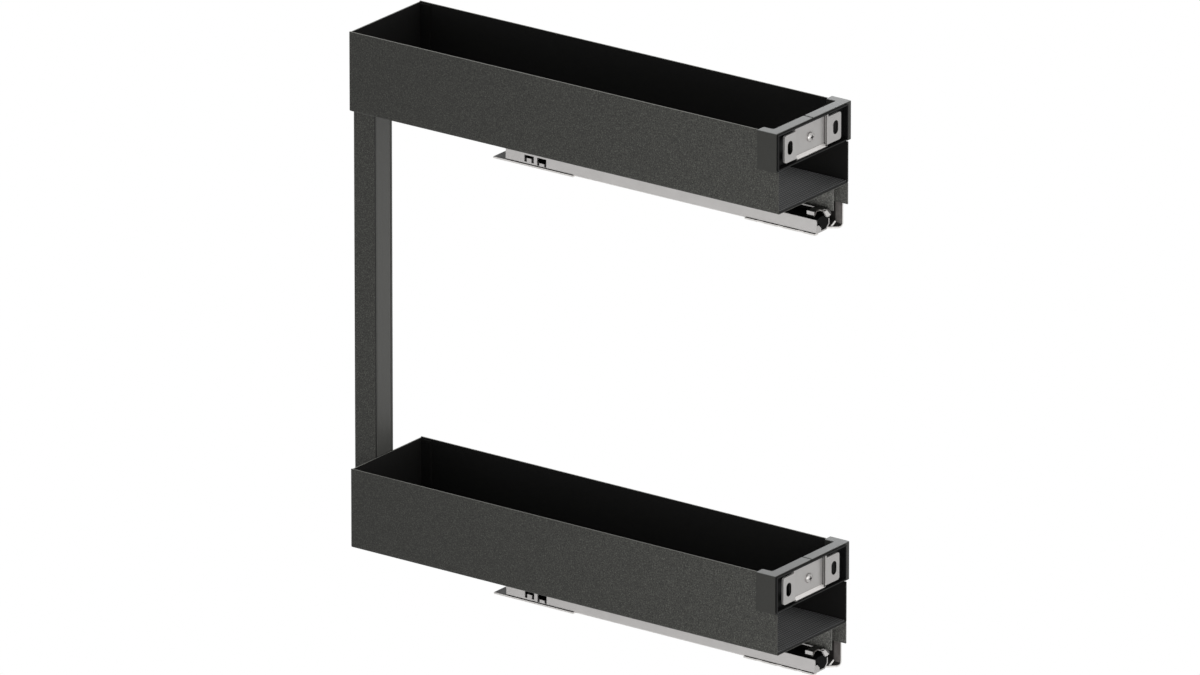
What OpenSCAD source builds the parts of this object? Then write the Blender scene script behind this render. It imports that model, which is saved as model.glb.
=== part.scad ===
// Pull-out rack for a narrow base cabinet. Two folded steel trays are joined by a column behind
// them, and each hangs on a full-extension ball runner that screws to one cabinet side.
// X points out of the cabinet, Y points at the cabinet side that carries the rack, Z is up.
// The origin is the front screw hole of the lower runner, on the plane of the cabinet side.

/* [Trays] */
// Outside length of a tray
tray_length = 470; // [420:5:520]
// Outside width of a tray
tray_width = 106; // [90:1:160]
// Height of a tray's walls
tray_height = 75; // [66:1:95]
// Distance from the lower tray's underside to the upper tray's
tray_spacing = 414; // [250:1:520]
// Sheet thickness of the trays
tray_sheet = 1.2; // [0.8:0.1:1.6]
// Outer bend radius along a tray's bottom edges
tray_bend = 1.9; // [1.7:0.1:3]
// Depth of the flanges that fix a tray's rear wall
rear_flange = 12; // [8:1:20]
// How far the rear wall's top edge lies below the side walls'
rear_step = 0.6; // [0:0.1:2]
// Thickness of the mat in a tray
mat_thickness = 1.5; // [1:0.1:3]
// Play between the mat and the tray's bends
mat_play = 0.3; // [0.2:0.1:1]
// Gap between a tray's far wall and the cabinet side
wall_gap = 6.5; // [6.4:0.1:9]
// Distance from the front wall screw to the front of the trays
front_setback = 37; // [30:1:45]
// Height of a tray's underside above its wall screws
hole_to_tray = 14; // [12:0.5:16]

/* [Front frame] */
// Sheet thickness of the frame pan
frame_sheet = 1; // [0.8:0.1:1.4]
// Play between the frame pan and the tray and caps around it
frame_play = 0.2; // [0.1:0.05:0.4]
// Length of the tabs that fix the frame pan inside the tray's walls
frame_tab = 14; // [8:1:15]
// Length of a corner cap along the tray
cap_length = 20.7; // [18:0.1:24]
// How far the corner caps reach below the frame pan
cap_drop = 1.5; // [0.5:0.1:6]
// How far the near cap's arm reaches in from the tray's near face
near_arm = 9; // [6:0.5:14]
// How far the far cap's arm reaches in from the tray's far face
far_arm = 3.4; // [3:0.1:8]
// Depth of the caps' front rail
cap_rail = 10; // [8:0.5:12]
// How far a corner cap stands behind the front of the tray
cap_setback = 1.7; // [1:0.1:4]
// How far the near cap stands proud of the tray
near_proud = 0.6; // [0.5:0.1:1.6]
// How far the far cap stands proud of the tray
far_proud = 6; // [1:0.1:6.2]
// Thickness of the trim plates on the caps
trim_thickness = 0.5; // [0.3:0.1:0.8]
// Gap of the seam where the two caps meet
cap_seam = 0.5; // [0.2:0.1:1.2]
// How far that seam lies off the tray's middle, towards the cabinet side
seam_offset = 1.5; // [0:0.1:4]

/* [Door plate] */
// Overall width of the door plate
plate_width = 85; // [80:0.1:88]
// Width of its near ear
near_ear = 18; // [14:0.1:20]
// Width of its far ear
far_ear = 21.2; // [14:0.1:24]
// Height of the ears
ear_height = 25.6; // [22:0.1:28]
// Height of the plate's middle, without its flange
middle_height = 27.9; // [23:0.1:29]
// Steel thickness of the door plate
plate_sheet = 2; // [1.5:0.1:2.4]
// How far the ears stand forward of the middle
ear_step = 3.2; // [2.4:0.1:3.4]
// Height and depth of the flange along its lower edge
plate_flange = 2.8; // [2:0.1:3.4]
// Length of that flange
flange_length = 44.8; // [36:0.1:50]
// Corner radius of the ears
ear_corner = 2.6; // [1:0.1:5]
// Width of a door-screw slot
slot_width = 7.6; // [5:0.1:8.4]
// Length of a door-screw slot
slot_length = 12.8; // [10:0.1:16]
// Distance between the two door-screw slots
slot_spacing = 68.6; // [60:0.1:69]
// How far the door plate stands behind the front of the frame pan
plate_setback = 0.6; // [0.2:0.1:1.5]
// Air between the door plate's flange and the frame pan under it
plate_clear = 0.2; // [0.1:0.1:1]
// Air between the door plate and the frame pan over it
plate_room = 0.3; // [0.2:0.1:2]
// Head diameter of the plate screw
plate_screw_head = 9; // [8:0.1:11]
// Thread diameter of the plate screw
plate_screw_d = 5; // [4:0.1:6]
// How far the plate screw reaches behind the frame pan
plate_screw_reach = 8; // [4:1:12]

/* [Column] */
// Width of the column
column_width = 26; // [22:1:40]
// How far the column stands off the trays' middle, away from the cabinet side
column_offset = 1.7; // [1.5:0.1:6]
// Depth of the column
column_depth = 23; // [18:1:40]
// Sheet thickness of the column's two channels
column_sheet = 1.5; // [1.2:0.1:2.5]
// Outer bend radius of the inner channel
column_bend = 2.4; // [1.8:0.1:4]
// How far the inner channel's flanges reach back
insert_depth = 12; // [8:1:14]
// How far the column's foot lies above the lower tray's underside
column_foot = 5; // [2:1:8]
// How far the column's head lies below the upper tray's rim
column_drop = 17; // [10:1:20]
// Thickness of the plates between the column and the trays
bracket_sheet = 1; // [0.8:0.1:2]
// Width of those plates
bracket_width = 32; // [28:1:44]
// How far the plates' middle lies below the middle of the trays' walls
bracket_drop = 7; // [0:1:8]
// Distance between the two screws of one plate
bracket_pitch = 32; // [28:1:36]
// Thread diameter of the column screws
column_screw_d = 4; // [3:0.1:5]
// Head height of the column screws
column_screw_head = 2.2; // [1.5:0.1:3]
// How far the column screws reach into the column
column_screw_reach = 5; // [3:0.5:8]

/* [Hanger] */
// Length of the hanger channel under a tray
hanger_length = 372; // [360:1:400]
// How far the hanger channel stands behind the front of the tray
hanger_setback = 1.7; // [0:0.1:4]
// How far the hanger channel reaches past the tray's far wall
hanger_overhang = 2.3; // [0:0.1:2.6]
// Width of the hanger channel
hanger_width = 23.1; // [22:0.1:26]
// Depth of the hanger channel
hanger_depth = 20.8; // [19:0.1:23]
// Sheet thickness of the hanger channel
hanger_sheet = 1.2; // [1:0.1:1.6]
// Air between the hanger's lower edge and the tray rail's shoulder
hanger_clear = 0.6; // [0.4:0.1:1.5]

/* [Runner] */
// Length of the fixed rail and of the tray rail
rail_length = 340; // [320:1:345]
// How far the fixed rail stands behind the front of the tray
rail_inset = 6.5; // [5:0.5:8]
// Sheet thickness of the rails
rail_sheet = 1.3; // [1:0.1:1.6]
// Half of the inside width of the ball race
race_half = 8.7; // [8.5:0.1:9.5]
// Width of the race's 45 degree corners
race_chamfer = 3.7; // [3.3:0.1:4.1]
// How far the tray rail reaches under the hanger
rail_tuck = 1.4; // [0.8:0.1:1.8]
// Height of the fixed rail's near side
strip_height = 13; // [12:0.1:13.5]
// Air between the edges of the fixed rail and the tray rail
edge_gap = 1.2; // [0.8:0.1:1.6]
// Height of the gap between the rails' far edges, from the race's centre
far_edge = 0.3; // [0:0.1:1]
// Distance from the fixed rail's rear end to its tongue
tongue_back = 20.6; // [10:0.1:22]
// Distance from the fixed rail's rear end to its window
window_back = 34.6; // [32:0.1:50]
// Diameter of the bearing balls
ball_d = 3.8; // [3.5:0.1:4]
// Play of a ball between the race faces, each side
ball_play = 0.1; // [0.05:0.01:0.15]
// Balls in one row
balls_per_row = 8; // [4:1:12]
// Pitch of the balls
ball_pitch = 12; // [8:0.5:13]
// Thickness of the ball cages
cage_sheet = 0.8; // [0.6:0.1:1]
// Play of a ball in its cage, each side
cage_play = 0.15; // [0.1:0.01:0.3]
// Room around the middle rail for the cages
cage_room = 2.8; // [2.6:0.1:3]
// Length of the plastic nose on the middle rail
nose_length = 58; // [50:1:66]
// Play of the nose in the race
nose_play = 0.5; // [0.4:0.1:0.8]
// Length of the nose's spigot in the middle rail
spigot_length = 14; // [8:1:20]
// How far the tray rail's far corner reaches past the nose
guide_lip = 1.8; // [1.2:0.1:4]
// Width of the tray rail's front stop
stop_width = 4.6; // [3:0.1:6]
// Air between the nose and the tray rail's front stop
nose_gap = 0.2; // [0.1:0.1:0.5]
// Full travel of the rack
travel = 340; // [250:5:345]

/* [Wall angle] */
// Length of the wall angle
angle_length = 350; // [345:1:352]
// How far the wall angle stands behind the fixed rail's front
angle_inset = 3.3; // [1:0.1:4]
// Sheet thickness of the wall angle
angle_sheet = 1.5; // [1.2:0.1:2.5]
// How far the angle's floor drops beside the wall
angle_dip = 4.8; // [4:0.1:7]
// Outer bend radius between its floor and its wall flange
angle_bend = 4; // [3.5:0.1:6]
// Width of the flat between the floor's slope and that bend
angle_flat = 2.5; // [2:0.1:4]
// Distance from that flat back to the lanced tab's root
tab_back = 9.8; // [4:0.1:11]
// How far the lanced tab reaches across the slope
tab_width = 6.7; // [5:0.1:7]
// How far the lanced tab rises
tab_rise = 2.4; // [1.5:0.1:4]
// How far the feet reach out past the fixed rail
foot_reach = 0.8; // [0.5:0.1:2]
// Length of the front foot
front_foot = 74; // [60:1:90]
// Length of the rear foot
rear_foot = 88; // [70:1:110]
// Distance from a foot's end to its rivet
rivet_inset = 20; // [10:1:24]
// Diameter of the large wall-screw holes
euro_hole = 6.4; // [5:0.1:7]
// Diameter of the small wall-screw holes
wood_hole = 4.4; // [3.5:0.1:5]
// Distance between the two large holes
euro_pitch = 224; // [192:32:256]
// Distance from a large hole back to the small hole behind it
wood_offset = 32; // [24:1:48]

/* [Soft close] */
// Length of the soft-close housing
housing_length = 187; // [170:1:200]
// Width of the soft-close housing
housing_width = 17; // [16:0.1:17.5]
// Height of the soft-close housing
housing_height = 11; // [10:0.1:11.5]
// Wall thickness of the soft-close housing
housing_wall = 1.5; // [1.2:0.1:2]
// Air between the housing's top and the hanger's lower edge
housing_gap = 4.7; // [4:0.1:5]
// Distance from the front wall screw back to the catch peg
peg_back = 133; // [120:1:145]
// Diameter of the catch peg
peg_d = 5; // [4:0.1:6]
// Travel of the soft-close catch
catch_travel = 40; // [30:1:42]
// Length of the catch
catch_length = 16; // [12:1:20]
// Play of the catch around the peg and in the housing
catch_play = 0.4; // [0.3:0.1:0.8]
// Outer diameter of the damper cylinder
damper_d = 7.6; // [6:0.1:7.8]
// Wall thickness of the damper cylinder
damper_wall = 0.8; // [0.6:0.1:1]
// Diameter of the damper rod
rod_d = 2.4; // [2:0.1:3]
// Running clearance of the rod and the piston, each side
rod_play = 0.08; // [0.05:0.01:0.1]
// Outer diameter of the return spring
spring_d = 4.4; // [3.5:0.1:4.6]

/* [Hidden] */
$fn = 48;

coat = [0.17, 0.17, 0.16];
dark_coat = [0.10, 0.10, 0.10];
mat_grey = [0.22, 0.22, 0.23];
zinc = [0.72, 0.71, 0.69];
trim_grey = [0.64, 0.65, 0.65];
black = [0.04, 0.04, 0.04];
steel = [0.60, 0.60, 0.61];

// Trays
front_x = front_setback;
rear_x = front_x - tray_length;
far_y = -wall_gap;
near_y = far_y - tray_width;
mid_y = (far_y + near_y) / 2;
lower_z = hole_to_tray;
upper_z = lower_z + tray_spacing;

// Front frame and caps: the pan is as deep and as high as the door plate that it holds
frame_depth = frame_sheet + plate_sheet + max(ear_step, plate_flange) + plate_setback;
frame_height = max(ear_height, middle_height) + plate_flange + plate_clear + plate_room + 2 * frame_sheet;
frame_back_x = front_x - frame_depth;
cap_front_x = front_x - cap_setback;
cap_rear_x = cap_front_x - cap_length;
cap_skin_z = trim_thickness + 0.8;
frame_top_z = tray_height - cap_skin_z - frame_play;
frame_foot_z = frame_top_z - frame_height;
cap_foot_z = frame_foot_z - cap_drop;
notch_z = min(frame_foot_z, cap_foot_z) - frame_play;

// Door plate: its back lies on the frame pan's back plate
plate_x = frame_back_x + frame_sheet;
ear_x = plate_x + ear_step;
ear_foot_z = frame_foot_z + frame_sheet + plate_clear + plate_flange;
plate_height = ear_foot_z + ear_height / 2;

// Column
column_x = rear_x - bracket_sheet - column_depth;
column_y = mid_y - column_offset;
column_length = tray_spacing + tray_height - column_drop - column_foot;
bracket_z = tray_height / 2 - bracket_drop;
bracket_height = bracket_pitch + 14;

// Hanger and ball race: the race's centre follows from the hanger and the clearances
hanger_front_x = front_x - hanger_setback;
hanger_far_y = far_y + hanger_overhang;
hanger_near_y = hanger_far_y - hanger_width;
race_out = race_half + rail_sheet;
race_diag = (2 * race_half - race_chamfer) / sqrt(2);
race_out_chamfer = 2 * race_out - (race_diag + rail_sheet) * sqrt(2);
race_y = hanger_near_y + rail_tuck - race_out;
shoulder_z = (race_diag + rail_sheet) * sqrt(2) - (race_out - rail_tuck);
race_z = -hanger_depth - hanger_clear - shoulder_z;
rail_front_x = front_x - rail_inset;
rail_rear_x = rail_front_x - rail_length;
near_edge_z = strip_height - race_out;
tube_half = race_half - cage_room;
tube_diag = race_diag - ball_d - 2 * ball_play;
tube_chamfer = 2 * tube_half - tube_diag * sqrt(2);
tube_rear_x = rail_rear_x + 4;
nose_rear_x = rail_front_x - nose_length;
ball_diag = (race_diag + tube_diag) / 2;
cage_length = (balls_per_row - 1) * ball_pitch + 14;
tray_cage_x = nose_rear_x - travel / 4 - 3 - cage_length;
wall_cage_x = tube_rear_x + travel / 4 + 8;
window_rear_x = nose_rear_x;
window_front_x = rail_front_x - 11;
shoulder_front_x = rail_front_x - 3;
stop_sheet = 1.5;

// Rail carrier: an L-section from the tray rail's top up the hanger's near side
carrier_top_z = -3;
carrier_front_x = rail_front_x - 38;
carrier_length = carrier_front_x - rail_rear_x - 4;
carrier_near_y = race_y - race_half + race_chamfer;
carrier_rivet_z = (carrier_top_z + race_z + race_out + rail_sheet) / 2;
carrier_rivet_inset = 20;
rivet_d = 4;
rivet_head_d = 7;
rivet_head = 1;
rivet_play = 0.1;

// Wall angle
angle_front_x = rail_front_x - angle_inset;
angle_rear_x = angle_front_x - angle_length;
angle_top_z = -3;
foot_front_x = rail_front_x - 0.5;
floor_z = race_z - race_out;
slope_near_y = race_y + race_out + 2;
slope_far_y = -angle_bend - angle_flat;
slope_angle = atan(angle_dip / (slope_far_y - slope_near_y));

// Soft close
housing_top_z = -hanger_depth - housing_gap;
housing_foot_z = housing_top_z - housing_height;
housing_far_y = -angle_bend;
housing_near_y = housing_far_y - housing_width;
peg_x = -peg_back;
peg_y = (housing_near_y + housing_far_y) / 2;
catch_x = peg_x - catch_length / 2;
housing_front_x = catch_x + catch_length + catch_travel + 4;
housing_rear_x = housing_front_x - housing_length;
slot_rear_x = catch_x - 1;
cavity_near_y = housing_near_y + housing_wall;
cavity_far_y = housing_far_y - housing_wall;
cavity_foot_z = housing_foot_z + housing_wall;
peg_foot_z = housing_top_z - 0.5;
catch_wall = 1.5;
rod_y = cavity_near_y + catch_play + damper_d / 2;
rod_z = cavity_foot_z + damper_d / 2;
damper_length = catch_travel + 22;
damper_x = slot_rear_x - 4 - damper_length;
spring_y = cavity_far_y - catch_play - spring_d / 2;

// Extrudes a section that is drawn in Y and Z along X
module along_x(from, to) {
    translate([from, 0, 0])
        rotate([90, 0, 90])
            linear_extrude(to - from) children();
}

// Extrudes a section that is drawn in X and Z along Y
module along_y(from, to) {
    translate([0, to, 0])
        rotate([90, 0, 0])
            linear_extrude(to - from) children();
}

// A box from its lowest to its highest corner
module box(low, high) {
    translate(low) cube(high - low);
}

// A cylinder along X, from one x to another
module x_cylinder(from, to, y, z, d) {
    translate([from, y, z])
        rotate([0, 90, 0])
            cylinder(h = to - from, d = d);
}

// A cylinder along Y, from one y to another
module y_cylinder(x, from, to, z, d) {
    translate([x, to, z])
        rotate([90, 0, 0])
            cylinder(h = to - from, d = d);
}

// A rectangle with four round corners
module round_rect(low, high, r) {
    translate([low[0] + r, low[1]]) square([high[0] - low[0] - 2 * r, high[1] - low[1]]);
    translate([low[0], low[1] + r]) square([high[0] - low[0], high[1] - low[1] - 2 * r]);
    for (x = [low[0] + r, high[0] - r], y = [low[1] + r, high[1] - r])
        translate([x, y]) circle(r);
}

// A slot along the second axis, end to end
module slot(y, z, width, length) {
    round_rect([y - width / 2, z - length / 2], [y + width / 2, z + length / 2], width / 2 - 0.001);
}

// The section of a tray with round lower edges, outside or inside
module tray_section(inset) {
    r = tray_bend - inset;
    low = [near_y + inset, inset];
    high = [far_y - inset, tray_height + 1];
    translate([low[0] + r, low[1]]) square([high[0] - low[0] - 2 * r, high[1] - low[1]]);
    translate([low[0], low[1] + r]) square([high[0] - low[0], high[1] - low[1] - r]);
    for (y = [low[0] + r, high[0] - r])
        translate([y, low[1] + r]) circle(r);
}

// Folded floor and side walls, stepped down at the front under the caps and the frame
module tray_shell(z) {
    color(coat) translate([0, 0, z]) difference() {
        along_x(rear_x, front_x) difference() {
            tray_section(0);
            tray_section(tray_sheet);
            translate([near_y - 1, tray_height]) square([tray_width + 2, 2]);
        }
        box([cap_rear_x - frame_play, near_y - 1, tray_height - cap_skin_z - frame_play],
            [front_x + 1, far_y + 1, tray_height + 1]);
        box([frame_back_x - frame_play, near_y - 1, notch_z],
            [front_x + 1, far_y + 1, tray_height + 1]);
    }
}

// Rear wall with flanges folded forward along both sides and the floor
module tray_rear_wall(z) {
    side = tray_sheet + 0.05;
    top_z = tray_height - rear_step;
    floor_in = 2 * tray_sheet + 0.05;
    color(coat) translate([0, 0, z]) difference() {
        union() {
            along_x(rear_x, rear_x + tray_sheet) polygon([
                [near_y + side, top_z], [near_y + side, side + tray_bend],
                [near_y + side + tray_bend, side],
                [far_y - side - tray_bend, side], [far_y - side, side + tray_bend], [far_y - side, top_z]
            ]);
            for (y = [near_y + side, far_y - side - tray_sheet])
                box([rear_x, y, side + tray_bend], [rear_x + rear_flange, y + tray_sheet, top_z - 1]);
            box([rear_x, near_y + side + tray_bend, side],
                [rear_x + rear_flange, far_y - side - tray_bend, floor_in]);
        }
        for (up = [-1, 1])
            x_cylinder(rear_x - 1, rear_x + tray_sheet + 1, column_y,
                bracket_z + up * bracket_pitch / 2, column_screw_d + 0.4);
    }
}

// Loose mat on the tray's floor
module tray_mat(z) {
    edge = tray_bend + mat_play;
    color(mat_grey)
        box([rear_x + rear_flange + mat_play, near_y + edge, z + tray_sheet + 0.05],
            [front_x - 0.6, far_y - edge, z + tray_sheet + 0.05 + mat_thickness]);
}

// Channel welded under the tray, open downwards over the runner
module hanger(z) {
    rear = hanger_front_x - hanger_length;
    color(coat) translate([0, 0, z]) difference() {
        along_x(rear, hanger_front_x) difference() {
            round_rect([hanger_near_y, -hanger_depth - 3], [hanger_far_y, 0], 1.6);
            round_rect([hanger_near_y + hanger_sheet, -hanger_depth - 4],
                [hanger_far_y - hanger_sheet, -hanger_sheet], 0.4);
            translate([hanger_near_y - 1, -hanger_depth - 4]) square([hanger_width + 2, 4]);
        }
        for (x = carrier_rivet_xs())
            y_cylinder(x, hanger_near_y - 1, hanger_near_y + hanger_sheet + 1, carrier_rivet_z,
                rivet_d + 2 * rivet_play);
    }
}

// The places of the rivets along the rail carrier
function carrier_rivet_xs() =
    let (pitch = (carrier_length - 2 * carrier_rivet_inset) / 3)
        [for (i = [0:3]) carrier_front_x - carrier_rivet_inset - i * pitch];

// L-section that carries the hanger on the tray rail
module rail_carrier(z) {
    foot_z = race_z + race_out;
    color(zinc) translate([0, 0, z]) difference() {
        along_x(carrier_front_x - carrier_length, carrier_front_x) {
            translate([carrier_near_y, foot_z]) square([hanger_near_y - carrier_near_y, rail_sheet]);
            translate([hanger_near_y - rail_sheet, foot_z]) square([rail_sheet, carrier_top_z - foot_z]);
        }
        for (x = carrier_rivet_xs())
            y_cylinder(x, hanger_near_y - rail_sheet - 1, hanger_near_y + 1, carrier_rivet_z,
                rivet_d + 2 * rivet_play);
    }
}

// Rivets through the carrier and the hanger's near flange
module carrier_rivets(z) {
    color(steel) translate([0, 0, z])
        for (x = carrier_rivet_xs()) {
            y_cylinder(x, hanger_near_y - rail_sheet - rivet_head, hanger_near_y - rail_sheet,
                carrier_rivet_z, rivet_head_d);
            y_cylinder(x, hanger_near_y - rail_sheet, hanger_near_y + hanger_sheet,
                carrier_rivet_z, rivet_d);
            y_cylinder(x, hanger_near_y + hanger_sheet, hanger_near_y + hanger_sheet + rivet_head,
                carrier_rivet_z, rivet_head_d);
        }
}

// Tray rail: the upper half of the ball race, cut open at the front around the nose
module tray_rail(z) {
    near_foot = near_edge_z + edge_gap;
    far_foot = far_edge + edge_gap / 2;
    c = race_chamfer;
    co = race_out_chamfer;
    color(zinc) translate([0, race_y, z + race_z]) difference() {
        along_x(rail_rear_x, rail_front_x) polygon([
            [-race_out, near_foot], [-race_out, race_out - co], [-race_out + co, race_out],
            [race_out - co, race_out], [race_out, race_out - co], [race_out, far_foot],
            [race_half, far_foot], [race_half, race_half - c], [race_half - c, race_half],
            [-race_half + c, race_half], [-race_half, race_half - c], [-race_half, near_foot]
        ]);
        box([window_rear_x, -race_out - 1, -1], [window_front_x, race_half - c - 2, race_out + 1]);
        box([shoulder_front_x, -race_out - 1, -1], [rail_front_x + 1, race_half - c - 6, race_out + 1]);
        box([window_rear_x, -race_out - 1, -1], [rail_front_x + 1, 0, race_out - co]);
    }
    // The far corner runs on past the nose and ends in a stop that buffers it
    color(zinc) translate([0, race_y, z + race_z])
        along_x(rail_front_x - 0.01, rail_front_x + guide_lip) polygon([
            [race_half - c - 2, race_out], [race_out - co, race_out], [race_out, race_out - co],
            [race_out, 3], [race_half, 3], [race_half, race_half - c], [race_half - c, race_half],
            [race_half - c - 2, race_half]
        ]);
    color(zinc) translate([0, race_y, z + race_z])
        along_x(rail_front_x + nose_gap, rail_front_x + guide_lip) polygon([
            [race_half - c, race_half + 0.1], [race_half + 0.1, race_half - c], [race_half + 0.1, 3],
            [race_half - stop_width, 2.4], [0, race_half - 0.6], [0, race_half + 0.1]
        ]);
    // A lug stands upright on its near corner, between the window and the front
    color(zinc) translate([0, race_y, z + race_z])
        box([window_front_x, 1 - race_out, race_out - co + 0.1],
            [shoulder_front_x, 1 + rail_sheet - race_out, race_out - 0.2]);
}

// Half of an octagon ring around the race's centre, above it or below it
module half_ring(side, half, diag, sheet) {
    c_in = 2 * (half - sheet / 2) - (diag - sheet / 2) * sqrt(2);
    c_out = 2 * (half + sheet / 2) - (diag + sheet / 2) * sqrt(2);
    a = half - sheet / 2;
    b = half + sheet / 2;
    edge = 1.2;
    scale([1, side]) polygon([
        [-b, edge], [-b, b - c_out], [-b + c_out, b], [b - c_out, b], [b, b - c_out], [b, edge],
        [a, edge], [a, a - c_in], [a - c_in, a], [-a + c_in, a], [-a, a - c_in], [-a, edge]
    ]);
}

// The middles of the balls in one cage
function ball_centres(x, side) = [
    for (i = [0:balls_per_row - 1], way = [-1, 1])
        [x + 7 + i * ball_pitch, way * ball_diag / sqrt(2), side * ball_diag / sqrt(2)]
];

// Ball cage between the middle rail and the rail above it (side 1) or below it (side -1)
module ball_cage(z, x, side) {
    color(black) translate([0, race_y, z + race_z]) difference() {
        along_x(x, x + cage_length) half_ring(side, race_half - cage_room / 2, ball_diag, cage_sheet);
        for (c = ball_centres(x, side))
            translate(c)
                rotate([c[1] * c[2] > 0 ? -45 : 45, 0, 0])
                    cylinder(h = 4, d = ball_d + 2 * cage_play, center = true);
    }
}

// Bearing balls of one cage
module ball_set(z, x, side) {
    color(steel) translate([0, race_y, z + race_z])
        for (c = ball_centres(x, side))
            translate(c) sphere(d = ball_d);
}

// An octagon around the race's centre
module octagon(half, c) {
    polygon([
        [-half, -half + c], [-half + c, -half], [half - c, -half], [half, -half + c],
        [half, half - c], [half - c, half], [-half + c, half], [-half, half - c]
    ]);
}

// Middle rail: an octagonal tube that runs on the balls
module middle_rail(z) {
    bore = tube_half - rail_sheet;
    bore_chamfer = 2 * bore - (tube_diag - rail_sheet) * sqrt(2);
    color(zinc) translate([0, race_y, z + race_z])
        along_x(tube_rear_x, nose_rear_x) difference() {
            octagon(tube_half, tube_chamfer);
            octagon(bore, bore_chamfer);
        }
}

// Plastic nose that guides and buffers the middle rail's front end
module middle_nose(z) {
    half = race_half - nose_play;
    c = 2 * half - (race_diag - nose_play) * sqrt(2);
    stop = tube_diag * sqrt(2);
    nose_top = near_edge_z + 1.2;
    plug = tube_half - rail_sheet - 0.1;
    plug_chamfer = 2 * plug - (tube_diag - rail_sheet - 0.1) * sqrt(2);
    color(black) translate([0, race_y, z + race_z]) {
        along_x(nose_rear_x, rail_front_x) polygon([
            [-half, half - stop - c + 2], [-half + 2.6, half - stop - c + 2],
            [-tube_half + 4, -tube_half - 0.3], [-tube_half + 4, -half], [half - c, -half],
            [half, -half + c], [half, nose_top - 2.6], [half - 3, nose_top], [-half + 3, nose_top],
            [-half, nose_top - 1.6]
        ]);
        along_x(nose_rear_x - spigot_length, nose_rear_x) octagon(plug, plug_chamfer);
    }
}

// A cut through the fixed rail's near side, from one X and Z to another
module near_cut(from_x, to_x, from_z, to_z) {
    box([from_x, -race_out - 1, from_z], [to_x, -race_half + 3, to_z]);
}

// Fixed rail: the lower half of the ball race, with its tall near side and the stop at its front
module fixed_rail(z) {
    c = race_chamfer;
    co = race_out_chamfer;
    far_top = far_edge - edge_gap / 2;
    tongue = 10.4;
    tongue_slit = 2.7;
    window = 10.2;
    window_depth = 4.8;
    window_leg = 2.4;
    cut_depth = 6.4;
    tongue_x = rail_rear_x + tongue_back;
    window_x = rail_rear_x + window_back;
    cut_top = near_edge_z - 4.5;
    color(zinc) translate([0, race_y, z + race_z]) {
        difference() {
            along_x(rail_rear_x, rail_front_x) polygon([
                [-race_out, near_edge_z], [-race_out, -race_out + 0.8], [-race_out + 0.8, -race_out],
                [race_out - co, -race_out], [race_out, -race_out + co], [race_out, far_top],
                [race_half, far_top], [race_half, -race_half + c], [race_half - c, -race_half],
                [-race_half + c, -race_half], [-race_half, -race_half + c], [-race_half, near_edge_z]
            ]);
            // A lanced tongue near the rear end, cut free on three sides
            for (x = [tongue_x, tongue_x + tongue - tongue_slit])
                near_cut(x, x + tongue_slit, cut_top - cut_depth, cut_top);
            near_cut(tongue_x, tongue_x + tongue, cut_top - tongue_slit, cut_top);
            // A window beside it, with a leg at each end of its lower edge
            near_cut(window_x, window_x + window, cut_top - window_depth, cut_top);
            for (x = [window_x, window_x + window - window_leg])
                near_cut(x, x + window_leg, cut_top - cut_depth - 1, cut_top);
            for (x = rail_rivet_xs())
                translate([x, 0, -race_out - 1]) cylinder(h = rail_sheet + 2, d = rivet_d + 2 * rivet_play);
        }
        along_x(rail_front_x - stop_sheet, rail_front_x) polygon([
            [-race_half, -2.9], [-tube_half, -2.9], [-2.4, -tube_half - 0.5],
            [-2.4, -race_half], [-race_half, -race_half]
        ]);
    }
}

// The places of the rivets that join the fixed rail to the wall angle
function rail_rivet_xs() = [
    angle_rear_x + rivet_inset, angle_rear_x + rear_foot - rivet_inset,
    angle_front_x - front_foot + rivet_inset, angle_front_x - rivet_inset
];

// Rivets through the fixed rail's floor and the wall angle's feet
module rail_rivets(z) {
    color(steel) translate([0, race_y, z + race_z])
        for (x = rail_rivet_xs()) {
            translate([x, 0, -race_out - angle_sheet]) cylinder(h = rail_sheet + angle_sheet, d = rivet_d);
            translate([x, 0, -race_out - angle_sheet - rivet_head])
                cylinder(h = rivet_head, d = rivet_head_d);
        }
}

// The wall angle's section: floor, dip, bend and wall flange
module angle_section() {
    t = angle_sheet;
    r = angle_bend;
    dip_z = floor_z - angle_dip;
    near = race_y - race_out + 3;
    mitre = t * tan(slope_angle / 2);
    polygon([
        [near, floor_z], [slope_near_y, floor_z], [slope_far_y, dip_z], [-r, dip_z],
        [-r, dip_z - t], [slope_far_y - mitre, dip_z - t], [slope_near_y - mitre, floor_z - t],
        [near, floor_z - t]
    ]);
    translate([-t, dip_z - t + r]) square([t, angle_top_z - dip_z + t - r]);
    translate([-r, dip_z - t + r]) intersection() {
        difference() {
            circle(r);
            circle(r - t);
        }
        translate([0, -r]) square(r);
    }
}

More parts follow.
